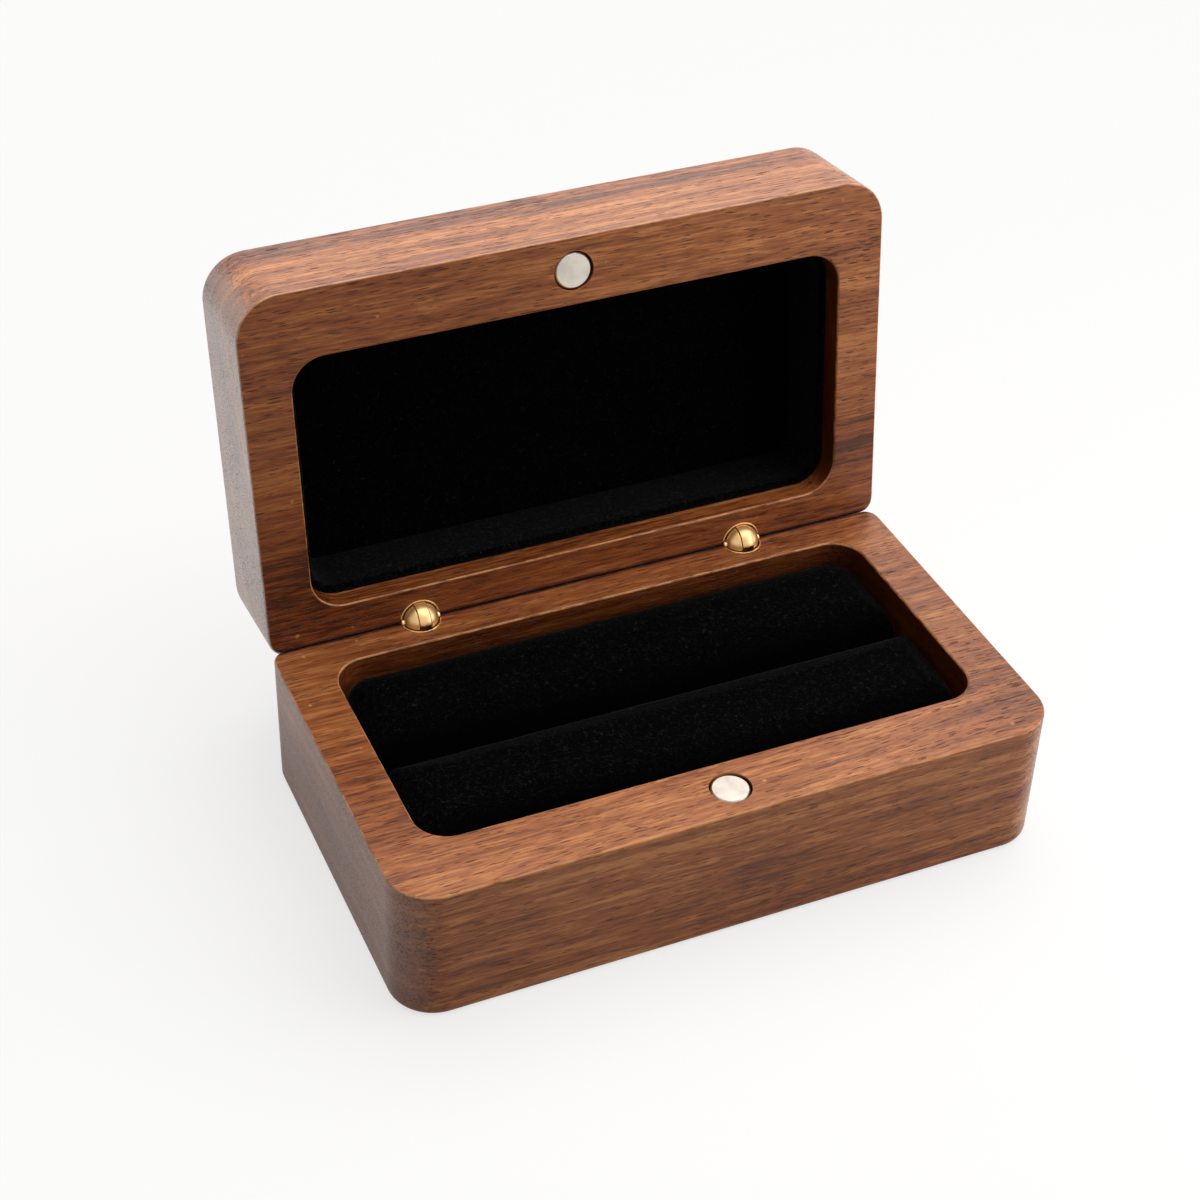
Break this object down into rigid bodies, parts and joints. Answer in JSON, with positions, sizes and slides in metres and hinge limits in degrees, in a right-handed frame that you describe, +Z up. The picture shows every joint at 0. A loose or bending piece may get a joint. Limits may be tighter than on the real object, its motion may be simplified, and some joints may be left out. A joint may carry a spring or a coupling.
{
  "type": "double ring box",
  "caption": "Walnut box for a pair of rings: hinged lid on ball hinges, magnets in the rims, velvet ring pads in the base and a velvet lined lid.",
  "frame": {"origin": "middle of the base's underside", "axes": "+X along the hinge line to the right, +Y to the rear, +Z up; the front with the magnet faces -Y"},
  "size_m": [0.09, 0.0726, 0.07],
  "materials": {
    "walnut": "satin oiled walnut, grain along the box",
    "nickel": "brushed nickel plating",
    "brass": "polished brass",
    "velvet": "black velvet, short pile",
    "foam": "black foam",
    "card": "dark grey pressed card"
  },
  "bodies": {
    "base": {"base_block": "walnut", "base_magnet": "nickel", "base_card": "card", "front_pad_core": "foam", "rear_pad_core": "foam", "front_pad_cover": "velvet", "rear_pad_cover": "velvet", "left_base_sleeve": "brass", "left_hinge_fork": "brass", "left_hinge_pin": "brass", "right_base_sleeve": "brass", "right_hinge_fork": "brass", "right_hinge_pin": "brass"},
    "lid": {"lid_block": "walnut", "lid_magnet": "nickel", "lid_wall_card": "card", "lid_floor_card": "card", "lid_wall_velvet": "velvet", "lid_floor_velvet": "velvet", "left_lid_sleeve": "brass", "left_hinge_tongue": "brass", "right_lid_sleeve": "brass", "right_hinge_tongue": "brass"}
  },
  "joints": [
    {"name": "lid_hinge", "type": "hinge", "parent": "base", "child": "lid", "pos_m": [0, 0.0234, 0.02005], "axis": [1, 0, 0], "range_deg": [0, 97.3]}
  ]
}
